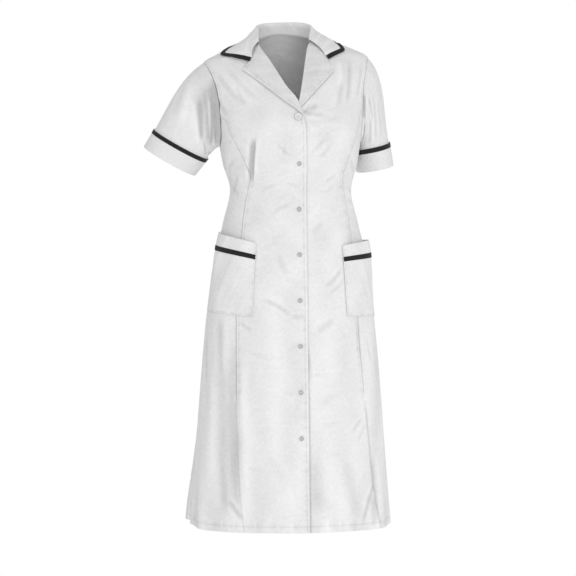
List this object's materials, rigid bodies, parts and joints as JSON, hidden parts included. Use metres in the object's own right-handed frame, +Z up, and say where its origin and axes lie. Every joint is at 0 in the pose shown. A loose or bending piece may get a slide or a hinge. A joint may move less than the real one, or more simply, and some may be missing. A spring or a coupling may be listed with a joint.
{
  "type": "nurse uniform dress",
  "caption": "Knee-length short-sleeved uniform dress with notched collar, button front, turned-back cuffs and patch pockets, hollow as when it is worn.",
  "frame": {"origin": "where the wearer's shoulders and neck hold the dress up: midway between the two points where the shoulder seams meet the neck", "axes": "+Z up; the front faces -Y; +X is the wearer's left side"},
  "size_m": [0.5563, 0.3248, 1.1119],
  "materials": {
    "white_cloth": "matt plain weave",
    "black_braid": "matt braid",
    "white_plastic": "satin"
  },
  "bodies": {
    "root": {"back": "white_cloth", "button_1": "white_plastic", "collar": "white_cloth", "collar_trim": "black_braid", "cuff_left": "white_cloth", "cuff_right": "white_cloth", "cuff_trim_left": "black_braid", "cuff_trim_right": "black_braid", "front_left": "white_cloth", "front_right": "white_cloth", "lapel_left": "white_cloth", "lapel_right": "white_cloth", "pocket_left": "white_cloth", "pocket_right": "white_cloth", "pocket_trim_left": "black_braid", "pocket_trim_right": "black_braid", "side_front_left": "white_cloth", "side_front_right": "white_cloth", "sleeve_left": "white_cloth", "sleeve_right": "white_cloth", "stud_2": "white_plastic", "stud_3": "white_plastic", "stud_4": "white_plastic", "stud_5": "white_plastic", "stud_6": "white_plastic", "stud_7": "white_plastic", "stud_8": "white_plastic"}
  },
  "joints": []
}
